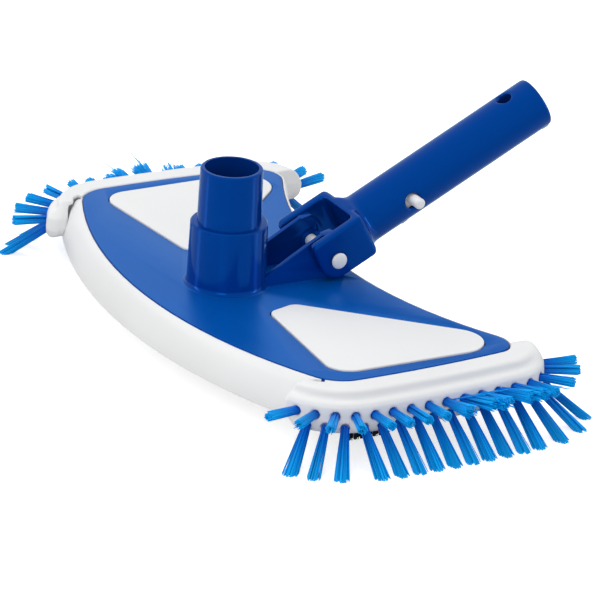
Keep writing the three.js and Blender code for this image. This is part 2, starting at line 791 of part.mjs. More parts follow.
// ---------------------------------------------------------------- handle, in its own frame
// The pivot is the origin, +Y runs up the handle and +X along the pin.

function handleBody() {
  const { halfWidth, slotHalfWidth, cheekRadius, top, webInner, rear, slotCorner, edgeCorner } = fork;
  const side = placed(prism(rounded([
    [-cheekRadius, -cheekRadius, cheekRadius * 0.99],
    [rear, -cheekRadius, edgeCorner],
    [rear, top, edgeCorner],
    [-cheekRadius, top, edgeCorner],
  ]), -halfWidth, halfWidth), alongX);
  const plan = prism(rounded([
    [-halfWidth, -beyond], [halfWidth, -beyond], [halfWidth, rear, edgeCorner], [-halfWidth, rear, edgeCorner],
  ]), -beyond, beyond);
  const slot = prism(rounded([
    [-slotHalfWidth, -beyond], [slotHalfWidth, -beyond],
    [slotHalfWidth, webInner, slotCorner], [-slotHalfWidth, webInner, slotCorner],
  ]), -beyond, beyond);
  const webMiddle = (webInner + rear) / 2;
  const { radius, end, rimRound, flareLength } = tube;
  const barrel = placed(turned([
    [0, webMiddle], [radius, webMiddle], [radius, end - rimRound], [radius - rimRound, end], [0, end],
  ]), alongY);
  const flare = placed(turned([
    [0, webMiddle],
    [radius + tube.flare, webMiddle],
    ...tube.flareCurve.map(([out, on]) => [radius + tube.flare * out, rear + flareLength * on]),
    [radius - gap, rear + flareLength],
    [0, rear + flareLength],
  ]), alongY).intersect(box(-halfWidth, halfWidth, 0, end, -radius, top));
  const pad = (start) => box(-tube.padWidth / 2, tube.padWidth / 2, start, start + tube.padLength,
    -radius - tube.padHeight, -tube.bore - past);
  const bore = placed(turned([
    [0, tube.floor], [tube.bore, tube.floor], [tube.bore, end + past], [0, end + past],
  ]), alongY);
  const crossHole = shifted(rod(tube.crossHole, -beyond, beyond, 20), 0, tube.crossHoleAt, 0);
  const sideHole = (holeRadius, at) =>
    shifted(placed(rod(holeRadius, -beyond, beyond, 24), alongX), 0, at, 0);
  return cutAll(joinAll([
    side.intersect(plan).subtract(slot), barrel, flare, pad(tube.padAt), pad(end - tube.padLength),
  ]), [
    bore, crossHole,
    sideHole(clip.holeRadius, clip.buttonAt - clip.holeShift),
    sideHole(pivot.pinRadius + gap, 0),
  ]);
}

const pinPlug = { radius: 1.5, depth: 6 };
const headSeat = fork.halfWidth + gap;

function pivotPin() {
  const { pinRadius, headRadius, headHeight, domeFrom, domeFlat } = pivot;
  const start = -fork.halfWidth;
  return placed(turned([
    [pinPlug.radius + gap, start],
    [pinRadius, start],
    [pinRadius, headSeat],
    [headRadius, headSeat],
    [headRadius, headSeat + headHeight * domeFrom],
    [headRadius * domeFlat, headSeat + headHeight],
    [0, headSeat + headHeight],
    [0, start + pinPlug.depth + gap],
    [pinPlug.radius + gap, start + pinPlug.depth + gap],
  ], pivot.sides), alongX);
}

function pivotPinCap() {
  const { headRadius, headHeight, domeFrom, domeFlat } = pivot;
  return placed(turned([
    [0, -headSeat - headHeight],
    [headRadius * domeFlat, -headSeat - headHeight],
    [headRadius, -headSeat - headHeight * domeFrom],
    [headRadius, -headSeat],
    [pinPlug.radius, -headSeat],
    [pinPlug.radius, -fork.halfWidth + pinPlug.depth],
    [0, -fork.halfWidth + pinPlug.depth],
  ], pivot.sides), alongX);
}

const halfClip = clip.thickness / 2;

function clipBend() {
  const centre = point(0, clip.bendAt);
  return prism(between(
    arc(centre, clip.bendRadius + halfClip, 0, Math.PI, 10),
    arc(centre, clip.bendRadius - halfClip, 0, Math.PI, 10),
  ), -clip.width / 2, clip.width / 2);
}

function clipArm() {
  const hinge = point(clip.bendRadius, clip.bendAt);
  const step = point(clip.spread, clip.buttonAt).sub(hinge).normalize();
  const aside = point(-step.y, step.x).multiplyScalar(halfClip);
  const at = (y) => hinge.clone().addScaledVector(step, (y - hinge.y) / step.y);
  const near = at(clip.bendAt - gap);
  const farEnd = at(clip.armEnd);
  const strip = prism([
    near.clone().add(aside), near.clone().sub(aside), farEnd.clone().sub(aside), farEnd.clone().add(aside),
  ], -clip.width / 2, clip.width / 2);
  const tip = tube.radius + clip.buttonOut;
  const button = placed(turned([
    [0, clip.spread - halfClip / 2],
    [clip.buttonRadius, clip.spread - halfClip / 2],
    ...clip.buttonDome.map(([share, below]) => [clip.buttonRadius * share, tip - below]),
    [0, tip],
  ], 20), alongX);
  return strip.add(shifted(button, 0, clip.buttonAt, 0));
}

// ---------------------------------------------------------------- assembly

function named(name, solid, material) {
  const mesh = new THREE.Mesh(toGeometry(solid), material);
  mesh.name = name;
  return mesh;
}

const head = new THREE.Group();
head.add(named('top_plate', topPlate(), blue));
head.add(named('base_shell', baseShell(), white));

const sides = [['right', (solid) => solid], ['left', flipped]];
const capSolid = brushCap();
const sideBrushSolid = sideBrush();
for (const [side, place] of sides) {
  head.add(named(`brush_cap_${side}`, place(capSolid), white));
  head.add(named(`side_brush_${side}`, place(sideBrushSolid), bristleBlue));
  head.add(named(`weight_cover_${side}`, place(weightCover()), white));
  head.add(named(`ballast_${side}`, place(ballast()), steel));
}

for (const row of brushRows) {
  head.add(named(`floor_brush_${row.name}`, floorBristles(row), bristleBlack));
}

function addScrews(prefix, places, length) {
  places.forEach(([x, y], i) => {
    const mesh = named(`${prefix}_${i + 1}`, screwBody(length), steel);
    mesh.position.set(x, y, screwHeadZ);
    head.add(mesh);
  });
}
addScrews('body_screw', bothSides(screwPlaces), bodyScrewLength);
addScrews('cap_screw', bothSides(lugScrewPlaces), capScrewLength);

const handle = new THREE.Group();
handle.position.set(0, pivot.y, pivotZ);
handle.rotation.x = degrees(fork.tilt);
handle.add(named('handle', handleBody(), blue));
handle.add(named('pivot_pin', pivotPin(), white));
handle.add(named('pivot_pin_cap', pivotPinCap(), white));
handle.add(named('clip_bend', clipBend(), white));
handle.add(named('clip_arm_right', clipArm(), white));
handle.add(named('clip_arm_left', flipped(clipArm()), white));

// The origin is under the middle of the whole part.
const assembly = new THREE.Group();
assembly.add(head, handle);
assembly.updateMatrixWorld(true);
const bounds = new THREE.Box3().setFromObject(assembly, true);
assembly.position.y = -(bounds.min.y + bounds.max.y) / 2;

export default assembly;
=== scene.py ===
import json
import math
import random
import bpy
from mathutils import Matrix, Vector


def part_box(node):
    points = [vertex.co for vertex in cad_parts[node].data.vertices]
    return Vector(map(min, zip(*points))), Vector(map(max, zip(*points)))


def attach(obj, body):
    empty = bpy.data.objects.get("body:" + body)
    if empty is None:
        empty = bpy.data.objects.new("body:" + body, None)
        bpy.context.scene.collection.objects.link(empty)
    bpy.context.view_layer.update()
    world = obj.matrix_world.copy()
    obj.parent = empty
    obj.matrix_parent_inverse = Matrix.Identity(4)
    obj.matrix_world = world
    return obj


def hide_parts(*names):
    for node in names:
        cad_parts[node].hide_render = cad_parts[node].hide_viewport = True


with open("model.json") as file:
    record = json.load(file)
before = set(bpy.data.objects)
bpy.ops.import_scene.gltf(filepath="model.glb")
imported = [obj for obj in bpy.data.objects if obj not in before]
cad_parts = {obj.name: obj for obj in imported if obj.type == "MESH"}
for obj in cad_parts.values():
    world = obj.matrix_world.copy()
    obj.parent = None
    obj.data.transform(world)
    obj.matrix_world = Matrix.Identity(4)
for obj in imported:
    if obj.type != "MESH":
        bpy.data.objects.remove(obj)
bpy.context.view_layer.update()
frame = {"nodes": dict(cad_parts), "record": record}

nodes = frame["nodes"]
mounts = {mount["name"]: Vector(mount["pos_m"]) for mount in frame["record"]["mounts"]}


# ------------------------------------------------------------------ base shell
# The white shell under the deck, moulded in polypropylene. Its wall flares outwards to the
# floor all along the front, its edges are softly rounded, and the moulding is a little satin.

mm = 0.001


def only(piece):
    """Makes one piece the only selected and active one."""
    bpy.ops.object.select_all(action="DESELECT")
    bpy.context.view_layer.objects.active = piece
    piece.select_set(True)


def apply_modifier(piece, kind, **settings):
    """Adds a modifier to a piece and applies it."""
    only(piece)
    modifier = piece.modifiers.new("shaping", kind)
    for setting, value in settings.items():
        setattr(modifier, setting, value)
    bpy.ops.object.modifier_apply(modifier=modifier.name)


def whole_faces(piece):
    """Joins a mesh's loose triangles into whole faces."""
    only(piece)
    bpy.ops.object.mode_set(mode="EDIT")
    bpy.ops.mesh.select_all(action="SELECT")
    bpy.ops.mesh.remove_doubles(threshold=0.001 * mm)
    bpy.ops.mesh.tris_convert_to_quads()
    bpy.ops.mesh.dissolve_limited(angle_limit=math.radians(1))
    bpy.ops.object.mode_set(mode="OBJECT")


def ease_edges(piece, radius, steps=3):
    """Rounds a piece's edges as a mould leaves them."""
    apply_modifier(piece, "BEVEL", width=radius, segments=steps, limit_method="ANGLE",
                   angle_limit=math.radians(35), miter_outer="MITER_ARC")
    if piece.data.has_custom_normals:
        bpy.ops.mesh.customdata_custom_splitnormals_clear()
    bpy.ops.object.shade_smooth_by_angle(angle=math.radians(30))


def eased_copy(name, node, radius, steps=3):
    """A copy of a node in whole faces, with rounded edges."""
    piece = bpy.data.objects.new(name, nodes[node].data.copy())
    bpy.context.collection.objects.link(piece)
    whole_faces(piece)
    ease_edges(piece, radius, steps)
    return piece


def moulded(name, colour, roughness, grain, depth, cloud=0.04, shine=0.5,
            gleam=(1, 1, 1), metal=0):
    """A moulded plastic: fine grain in its gloss and bump, scuffs and a slow change of tone."""
    material = bpy.data.materials.new(name)
    material.use_nodes = True
    tree = material.node_tree
    shader = tree.nodes["Principled BSDF"]
    shader.inputs["Specular IOR Level"].default_value = shine
    shader.inputs["Specular Tint"].default_value = (*gleam, 1)
    shader.inputs["Metallic"].default_value = metal
    place = tree.nodes.new("ShaderNodeTexCoord")

    def noise(scale, detail):
        texture = tree.nodes.new("ShaderNodeTexNoise")
        texture.inputs["Scale"].default_value = scale
        texture.inputs["Detail"].default_value = detail
        tree.links.new(place.outputs["Object"], texture.inputs["Vector"])
        return texture.outputs["Fac"]

    def spread(value, low, high, start=0, end=1):
        share = tree.nodes.new("ShaderNodeMapRange")
        share.inputs["From Min"].default_value = start
        share.inputs["From Max"].default_value = end
        share.inputs["To Min"].default_value = low
        share.inputs["To Max"].default_value = high
        tree.links.new(value, share.inputs["Value"])
        return share.outputs["Result"]

    tint = tree.nodes.new("ShaderNodeMix")
    tint.data_type = "RGBA"
    tint.blend_type = "MULTIPLY"
    tint.inputs["Factor"].default_value = 1
    tint.inputs[6].default_value = (*colour, 1)
    tree.links.new(spread(noise(14, 2), 1 - cloud, 1 + cloud), tint.inputs[7])
    tree.links.new(tint.outputs[2], shader.inputs["Base Color"])
    fine = noise(grain, 3)
    scuffs = spread(noise(55, 8), 0, 0.06, 0.58, 0.75)
    gloss = tree.nodes.new("ShaderNodeMath")
    gloss.operation = "ADD"
    tree.links.new(spread(fine, roughness * 0.85, roughness * 1.15), gloss.inputs[0])
    tree.links.new(scuffs, gloss.inputs[1])
    tree.links.new(gloss.outputs["Value"], shader.inputs["Roughness"])
    bump = tree.nodes.new("ShaderNodeBump")
    bump.inputs["Strength"].default_value = 0.25
    bump.inputs["Distance"].default_value = depth
    tree.links.new(fine, bump.inputs["Height"])
    tree.links.new(bump.outputs["Normal"], shader.inputs["Normal"])
    return material


def fit(piece, body, slot, material, *replaced):
    """Gives a piece its material and its body, and hides the plain nodes that it stands for."""
    piece.data.materials.clear()
    piece.data.materials.append(material)
    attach(piece, body)
    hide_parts(*replaced)


white = moulded("white_polypropylene", (0.82, 0.825, 0.83),
                roughness=0.4, grain=900, depth=0.02 * mm)
base = eased_copy("base_moulding", "base_shell", 0.5 * mm)
fit(base, "head", "white_plastic", white, "base_shell")

# ------------------------------------------------------------------ top plate with hose cuff
# One large glossy moulding in deep blue: the crescent deck, the stepped cuff that the hose
# slides over, and the two ears that carry the handle's pin. It is screwed down from below.

cuff_y = mounts["hose_cuff_rim"].y
deck_height = 36.5
blue_gleam, blue_metal = (0.1, 0.7, 1), 0.35
polished_blue = moulded("polished_blue_plastic", (0.0, 0.044, 0.28),
                        roughness=0.12, grain=700, depth=0.004 * mm,
                        cloud=0.05, shine=0.17, gleam=blue_gleam, metal=blue_metal)
# A lighter copy of the polished blue: the lighter colour is painted light on the deck's upward
# faces; its grain and roughness are the deck's own.
grained_blue_painted_lighter = moulded("grained_blue_plastic_painted_lighter", (0.0, 0.10, 0.44),
                       roughness=0.3, grain=2200, depth=0.012 * mm,
                       cloud=0.05, shine=0.2, gleam=blue_gleam, metal=blue_metal)


def on_head(x, y, z):
    """A point in metres, from its millimetres out from the cuff's axis and up from the floor."""
    return Vector((x * mm, y * mm + cuff_y, z * mm))


def ring(name, corners):
    """A closed ring: the corners of a circle, moved to the given places."""
    bpy.ops.object.select_all(action="DESELECT")
    bpy.ops.mesh.primitive_circle_add(vertices=len(corners), fill_type="NOTHING")
    piece = bpy.context.object
    piece.name = name
    for vertex, corner in zip(piece.data.vertices, corners):
        vertex.co = corner
    return piece


def outward(piece):
    """Turns all faces of a closed piece outwards."""
    only(piece)
    bpy.ops.object.mode_set(mode="EDIT")
    bpy.ops.mesh.select_all(action="SELECT")
    bpy.ops.mesh.normals_make_consistent(inside=False)
    bpy.ops.object.mode_set(mode="OBJECT")


def block(name, corners, run):
    """A block with the outline of a ring of corners, pulled out along a run."""
    piece = ring(name, corners)
    bpy.ops.object.mode_set(mode="EDIT")
    bpy.ops.mesh.select_all(action="SELECT")
    bpy.ops.mesh.edge_face_add()
    bpy.ops.mesh.extrude_region_move(TRANSFORM_OT_translate={"value": run})
    bpy.ops.object.mode_set(mode="OBJECT")
    outward(piece)
    return piece


def cut(piece, *cutters):
    """Cuts shapes out of a piece, and throws the cutters away."""
    for cutter in cutters:
        apply_modifier(piece, "BOOLEAN", operation="DIFFERENCE", solver="EXACT", object=cutter)
        bpy.data.objects.remove(cutter)


# The ears rise from the cuff's foot in a straight slope to a round end.
ear_slope = [(9, 37.4), (20, 44.2), (30, 50.2), (42, 57.0), (48, 60.3), (53, 61.6), (60, 60.8)]
ear_inner, ear_outer = 9, 15.3
over_ears = 80
cuff_radius, cuff_sides, cuff_cutter = 20.1, 96, 0.3
deck = bpy.data.objects.new("deck_moulding", nodes["top_plate"].data.copy())
bpy.context.collection.objects.link(deck)
whole_faces(deck)
for side in (1, -1):
    above = block("space_over_ear", [
        on_head(side * ear_inner, y, z) for y, z in [
            *ear_slope, (ear_slope[-1][0], over_ears), (ear_slope[0][0], over_ears)]
    ], (side * (ear_outer - ear_inner) * mm, 0, 0))
    bpy.ops.object.select_all(action="DESELECT")
    bpy.ops.mesh.primitive_cylinder_add(vertices=cuff_sides, radius=cuff_radius * mm,
                                        depth=cuff_cutter, location=on_head(0, 0, 0))
    cut(above, bpy.context.object)
    cut(deck, above)
ease_edges(deck, 0.4 * mm)
fit(deck, "head", "blue_plastic", polished_blue, "top_plate")

# The flat of the deck has a fine grain and is painted a lighter blue, as painted light for upward
# faces that catch more light than the cuff and the ears; those are polished.
deck.data.materials.append(grained_blue_painted_lighter)
level_from, height_slack = 0.95, 0.3
for face in deck.data.polygons:
    if face.normal.z > level_from and abs(face.center.z / mm - deck_height) < height_slack:
        face.material_index = 1

# ------------------------------------------------------------------ end bumpers
# A white bar round each end of the head, moulded in polypropylene. It has two soft tiers, a
# finger in front and a round nose behind, and two rows of blind holes that hold the tufts.

wall_reach = 18.3
bumper_section = [
    (0.3, 15), (16, 15), (17.6, 15.6), (18.2, 17.5), (18.5, 22), (18.4, 26), (17.9, 29),
    (16.8, 30.7), (15.3, 31.5), (14.1, 31.6), (13.3, 32.2), (12.9, 33.4), (12.7, 34.9),
    (12.1, 36), (11, 36.6), (9.5, 36.8), (1.3, 36.8), (0.6, 36.5), (0.3, 35.8),
]
bumper_low, bumper_top = 15, 36.8
front_centre, front_radius = Vector((0, 239.5)), 286
end_centre, end_radius = Vector((-512.5, 8)), 650
corner_centre, corner_radius = Vector((117.459, 0.839)), 20
nose_centre, nose_radius = Vector((123.177, 84.803)), 28
deck_corner_centre, deck_corner_radius = Vector((120.054, 83.134)), 13
bumper_start = -66.6
bumper_end = 87.5
inside_start, past_nose = -75, 118
inside_front, inside_rear = Vector((60, 0)), Vector((60, 60))
far, over_bumper = 200, 50


def heading(start, end):
    """The direction from one point to another, in degrees."""
    return math.degrees(math.atan2(end.y - start.y, end.x - start.x))


def toward(angle):
    """The direction at an angle in degrees, 1 long."""
    return Vector((math.cos(math.radians(angle)), math.sin(math.radians(angle))))


def arc(centre, radius, start, end, steps):
    """Points along an arc."""
    angles = [start + (end - start) * step / steps for step in range(steps + 1)]
    return [centre + radius * toward(angle) for angle in angles]


def prism(name, outline, low, high, lean=Vector((0, 0))):
    """A block with the outline of a plan, from one height to another, that may lean."""
    return block(name, [on_head(p.x, p.y, low) for p in outline],
                 (lean.x * mm, lean.y * mm, (high - low) * mm))


def swept(name, section, path):
    """A closed bar: a section of reach and height, swept round the arcs of a path."""
    centre, radius, start, _, _ = path[0]
    out = toward(start)
    piece = ring(name, [on_head(*(centre + (radius + reach) * out), z) for reach, z in section])
    bpy.ops.object.mode_set(mode="EDIT")
    bpy.ops.mesh.select_all(action="SELECT")
    for centre, radius, start, end, steps in path:
        bpy.ops.mesh.spin(steps=steps, angle=-math.radians(end - start),
                          center=on_head(*centre, 0), axis=(0, 0, 1))
    bpy.ops.mesh.select_all(action="SELECT")
    bpy.ops.mesh.remove_doubles(threshold=0.001 * mm)
    bpy.ops.mesh.fill_holes(sides=0)
    bpy.ops.object.mode_set(mode="OBJECT")
    outward(piece)
    return piece


corner_start = heading(front_centre, corner_centre)
corner_end = heading(end_centre, corner_centre)
nose_start = heading(end_centre, nose_centre)
bumper = swept("bumper_right", bumper_section, [
    (front_centre, front_radius, bumper_start, corner_start, 3),
    (corner_centre, corner_radius, corner_start, corner_end, 20),
    (end_centre, end_radius, corner_end, nose_start, 16),
    (nose_centre, nose_radius - wall_reach, nose_start, bumper_end, 24),
])

# Round the nose the step between the tiers fills up, and both run into one dome. It has a
# reach and a height for each corner of the section from the ninth to the fifteenth.
dome = {9: (17.2, 30.4), 10: (16.5, 31.8), 11: (15.7, 33.1), 12: (14.8, 34.2),
        13: (13.8, 35.1), 14: (12.8, 35.8), 15: (11.7, 36.3)}
first_corner = 2
dome_start, dome_full = 20, 62
nose_inner = nose_radius - wall_reach
for vertex in bumper.data.vertices:
    away = Vector((vertex.co.x / mm, (vertex.co.y - cuff_y) / mm)) - nose_centre
    angle = math.degrees(math.atan2(away.y, away.x))
    share = min(1, max(0, (angle - dome_start) / (dome_full - dome_start)))
    if share == 0 or away.length > nose_radius + 1:
        continue
    for corner, (reach, z) in dome.items():
        from_reach, from_z = bumper_section[corner - first_corner]
        if abs(away.length - nose_inner - from_reach) + abs(vertex.co.z / mm - from_z) < 0.1:
            ease = share * share * (3 - 2 * share)
            out_by = nose_inner + from_reach + ease * (reach - from_reach)
            place = nose_centre + away.normalized() * out_by
            vertex.co = on_head(*place, from_z + ease * (z - from_z))
            break

clearance = 0.3
deck_outline = [
    *arc(front_centre, front_radius + clearance, inside_start, corner_start, 4),
    *arc(corner_centre, corner_radius + clearance, corner_start, corner_end, 20)[1:],
    *arc(end_centre, end_radius + clearance, corner_end, nose_start, 8)[1:],
    *arc(deck_corner_centre, deck_corner_radius + clearance, nose_start, past_nose, 20)[1:],
    inside_rear,
]

finger_heading = 61.9
finger_half_width = 4.75
finger_length = 15.4
finger_upper_back, finger_lean = 5.5, 1.25
finger_step, over_finger = 28, 38
under_finger_back, under_finger_lean = 6, 8
under_finger_low, under_finger_top = 13, 24
bulb_radius = 7.5
finger_end = corner_centre + Vector((10.3, -30.3))
finger_along = toward(finger_heading)
finger_across = toward(finger_heading - 90)
finger_root = finger_end + finger_length * finger_along - finger_half_width * finger_across


def ahead_of_finger(back):
    """What lies in front of the finger's round end, set back by a length."""
    middle = finger_end + (back + bulb_radius - finger_half_width) * finger_along \
        + (bulb_radius - finger_half_width) * finger_across
    aside = middle + far * finger_across
    return [
        finger_root,
        finger_root - Vector((far, 0)),
        Vector((finger_root.x - far, -2 * far)),
        aside - far * finger_along,
        aside,
        *arc(middle, bulb_radius, finger_heading - 90, finger_heading - 270, 16),
    ]


def crossing(start, direction, centre, radius):
    """Where a line meets a circle, on the side that it comes from."""
    away = start - centre
    middle = -away.dot(direction)
    return start + direction * (middle - math.sqrt(middle ** 2 - away.dot(away) + radius ** 2))


skirt_flare = 5.8
tuck_room = 1.6
tuck, tuck_length = 5, 30
skirt_roof = 2.2
tuck_line = finger_root + tuck * finger_across
skirt_reach = front_radius + skirt_flare + tuck_room
tuck_end = crossing(tuck_line, finger_along, front_centre, skirt_reach)
skirt_outline = [
    *arc(front_centre, skirt_reach, inside_start, heading(front_centre, tuck_end), 6),
    tuck_line + tuck_length * finger_along,
    inside_front,
]
under_round, under_reach = 12.4, 30
bumper_rear_x, rear_nose_start = 124.5, 66


def under_nose(name, x, start_y, end_y):
    """What lies under the rounded end of a bumper."""
    turn = arc(Vector((x + under_round, bumper_low + under_round)), under_round, -90, -180, 8)
    outline = [Vector((x - under_reach, 0)), Vector((x + under_round, 0)), *turn,
               Vector((x - under_reach, turn[-1].y))]
    return block(name, [on_head(p.x, start_y, p.y) for p in outline],
                 (0, (end_y - start_y) * mm, 0))


slit_flare, slit_across, slit_depth = 4.8, 3.6, 4
slit_reach = front_radius + slit_flare
slit_line = finger_root + slit_across * finger_across
slit_end = crossing(slit_line, finger_along, front_centre, slit_reach)
slit_outline = [
    *arc(front_centre, slit_reach, inside_start, heading(front_centre, slit_end), 6),
    slit_line,
    inside_front,
]
cut(
    bumper,
    prism("deck_space", deck_outline, 0, over_bumper),
    prism("space_ahead", ahead_of_finger(0), 0, finger_step),
    prism("upper_space_ahead", ahead_of_finger(0), finger_step, over_finger,
          finger_upper_back * finger_lean * finger_along),
    prism("space_under_finger", ahead_of_finger(under_finger_back),
          under_finger_low, under_finger_top, -under_finger_lean * finger_along),
    prism("skirt_space", skirt_outline, 0, bumper_top - skirt_roof),
    prism("slit_space", slit_outline, bumper_top - slit_depth, over_bumper),
    under_nose("front_nose_space", finger_end.x - finger_half_width, -far, finger_root.y),
    under_nose("rear_nose_space", bumper_rear_x, rear_nose_start, far),
)

# The tufts stand in two rows along the lower tier's wall, the lower row between the upper one.
row_path = [
    (corner_centre, corner_radius + wall_reach, corner_start, corner_end),
    (end_centre, end_radius + wall_reach, corner_end, nose_start),
    (nose_centre, nose_radius, nose_start, past_nose),
]
rows = {
    "upper": {"count": 17, "first": 1.8, "pitch": 10.32, "last": 164.5, "height": 24.6},
    "lower": {"count": 16, "first": 7.8, "pitch": 9.9, "last": 156, "height": 18.6},
}
hole_radius, hole_depth, hole_sides = 2.4, 3, 16


def along_wall(distance):
    """The place and the outward direction at a distance along the bumper's wall."""
    for centre, radius, start, end in row_path:
        length = radius * math.radians(end - start)
        if distance <= length:
            break
        distance -= length
    out = toward(start + math.degrees(distance / radius))
    return centre + radius * out, out


def tuft_places(row):
    """The place and the outward direction of each tuft of a row."""
    return [along_wall(min(row["first"] + row["pitch"] * index, row["last"]))
            for index in range(row["count"])]


def bore(place, out, height):
    """A round cutter for one tuft's hole, square to the wall."""
    bpy.ops.object.select_all(action="DESELECT")
    bpy.ops.mesh.primitive_cylinder_add(
        vertices=hole_sides, radius=hole_radius * mm, depth=2 * hole_depth * mm,
        location=on_head(*place, height),
        rotation=(math.pi / 2, 0, math.atan2(out.y, out.x) + math.pi / 2))
    return bpy.context.object


def softened(piece, rounds):
    """Remeshes a piece finely and smooths it, so that all its edges run soft."""
    apply_modifier(piece, "REMESH", mode="VOXEL", voxel_size=0.6 * mm)
    apply_modifier(piece, "SMOOTH", factor=0.5, iterations=rounds)
    bpy.ops.object.shade_smooth()


for row in rows.values():
    cut(bumper, *[bore(place, out, row["height"]) for place, out in tuft_places(row)])
softened(bumper, 5)


def mirrored(piece, name):
    """The other hand of a piece, as a mesh of its own."""
    only(piece)
    bpy.ops.object.duplicate()
    other = bpy.context.object
    other.name = name
    other.scale.x = -1
    bpy.ops.object.transform_apply(location=False, rotation=False, scale=True)
    outward(other)
    return other


bumper_left = mirrored(bumper, "bumper_left")
fit(bumper, "head", "white_plastic", white, "brush_cap_right")
fit(bumper_left, "head", "white_plastic", white, "brush_cap_left")

# ------------------------------------------------------------------ blue side bristles
# Tufts of thin nylon filament, drawn into the bumpers' holes by the root. The upper tufts
# stand out level between the lower ones, which lean down and are trimmed off at the floor.

filament_sides = 5
filament_bow = 0.3
filament_scatter = 0.07
random.seed(7)


def filament_model():
    """One filament, 1 long and 1 thick, with a slight bow, to be stretched to size."""
    bpy.ops.object.select_all(action="DESELECT")
    bpy.ops.mesh.primitive_circle_add(vertices=filament_sides, radius=0.5, fill_type="NGON",
                                      rotation=(0, math.pi / 2, 0))
    piece = bpy.context.object
    bpy.ops.object.transform_apply(location=False, rotation=True, scale=False)
    bpy.ops.object.mode_set(mode="EDIT")
    bpy.ops.mesh.select_all(action="SELECT")
    for rise in (filament_bow, 0, -filament_bow):
        bpy.ops.mesh.extrude_region_move(TRANSFORM_OT_translate={"value": (1 / 3, 0, rise)})
    bpy.ops.object.mode_set(mode="OBJECT")
    outward(piece)
    length = piece.data.attributes.new("along", "FLOAT", "POINT")
    for vertex in piece.data.vertices:
        length.data[vertex.index].value = vertex.co.x
    return piece


filament = filament_model()


def bundle(name, count, thickness, reach, root_radius, fan_width, fan_height, ragged):
    """A tuft of filaments along X, which fans out to a width and a height at its tips."""
    strands = []
    for index in range(count):
        turn = random.uniform(0, 2 * math.pi)
        away = math.sqrt((index + 0.5) / count)
        across, up = away * math.cos(turn), away * math.sin(turn)
        root = Vector((0, root_radius * across, root_radius * up))
        tip = Vector((reach * random.uniform(1 - ragged, 1),
                      fan_width * (across + random.gauss(0, filament_scatter)),
                      fan_height * (up + random.gauss(0, filament_scatter))))
        strand = filament.copy()
        strand.data = filament.data.copy()
        bpy.context.collection.objects.link(strand)
        run = tip - root
        turned = run.to_track_quat("X", "Z").to_matrix() @ Matrix.Rotation(turn * 3, 3, "X")
        shape = turned @ Matrix.Diagonal((run.length, thickness, thickness))
        strand.data.transform(Matrix.Translation(root * mm) @ (shape * mm).to_4x4())
        shade = strand.data.attributes.new("shade", "FLOAT", "POINT")
        shade.data.foreach_set("value", [random.random()] * len(strand.data.vertices))
        strands.append(strand)
    bpy.ops.object.select_all(action="DESELECT")
    for strand in strands:
        strand.select_set(True)
    bpy.context.view_layer.objects.active = strands[0]
    bpy.ops.object.join()
    strands[0].name = name
    return strands[0]


def planted(model, root, direction):
    """A copy of a tuft, with its root at a place and its axis along a direction."""
    piece = model.copy()
    piece.data = model.data.copy()
    bpy.context.collection.objects.link(piece)
    side = Vector((0, 0, 1)).cross(direction)
    if side.length < 0.1:
        side = Vector((1, 0, 0))
    side.normalize()
    up = direction.cross(side)
    frame_of_tuft = Matrix((direction, side, up)).transposed().to_4x4()
    piece.data.transform(Matrix.Translation(root) @ frame_of_tuft)
    return piece


def joined(name, pieces):
    """Makes one piece of several."""
    bpy.ops.object.select_all(action="DESELECT")
    for piece in pieces:
        piece.select_set(True)
    bpy.context.view_layer.objects.active = pieces[0]
    bpy.ops.object.join()
    pieces[0].name = name
    return pieces[0]


floor_gap = 0.1


def trimmed_at_floor(piece):
    """Cuts off what reaches below the floor, with one fill over all the cuts together."""
    only(piece)
    bpy.ops.object.mode_set(mode="EDIT")
    bpy.ops.mesh.select_all(action="SELECT")
    bpy.ops.mesh.bisect(plane_co=(0, 0, floor_gap * mm), plane_no=(0, 0, -1),
                        use_fill=True, clear_outer=True)
    bpy.ops.object.mode_set(mode="OBJECT")


def filament_finish(name, shaded_root_colour, lit_tip_colour, roughness):
    """Extruded nylon, with painted shade and light: darker at the root, where the filaments crowd
    into the hole, and lighter towards the tip as a painted highlight; no two filaments alike.
    """
    material = bpy.data.materials.new(name)
    material.use_nodes = True
    tree = material.node_tree
    shader = tree.nodes["Principled BSDF"]
    along = tree.nodes.new("ShaderNodeAttribute")
    along.attribute_name = "along"
    shade = tree.nodes.new("ShaderNodeAttribute")
    shade.attribute_name = "shade"
    level = tree.nodes.new("ShaderNodeMapRange")
    level.inputs["To Min"].default_value = 0.82
    level.inputs["To Max"].default_value = 1.15
    tree.links.new(shade.outputs["Fac"], level.inputs["Value"])
    blend = tree.nodes.new("ShaderNodeMix")
    blend.data_type = "RGBA"
    blend.inputs[6].default_value = (*shaded_root_colour, 1)
    blend.inputs[7].default_value = (*lit_tip_colour, 1)
    tree.links.new(along.outputs["Fac"], blend.inputs["Factor"])
    tint = tree.nodes.new("ShaderNodeMix")
    tint.data_type = "RGBA"
    tint.blend_type = "MULTIPLY"
    tint.inputs["Factor"].default_value = 1
    tree.links.new(blend.outputs[2], tint.inputs[6])
    tree.links.new(level.outputs["Result"], tint.inputs[7])
    tree.links.new(tint.outputs[2], shader.inputs["Base Color"])
    place = tree.nodes.new("ShaderNodeTexCoord")
    streaks = tree.nodes.new("ShaderNodeTexNoise")
    streaks.inputs["Scale"].default_value = 1800
    tree.links.new(place.outputs["Object"], streaks.inputs["Vector"])
    gloss = tree.nodes.new("ShaderNodeMapRange")
    gloss.inputs["To Min"].default_value = roughness - 0.08
    gloss.inputs["To Max"].default_value = roughness + 0.08
    tree.links.new(streaks.outputs["Fac"], gloss.inputs["Value"])
    tree.links.new(gloss.outputs["Result"], shader.inputs["Roughness"])
    return material


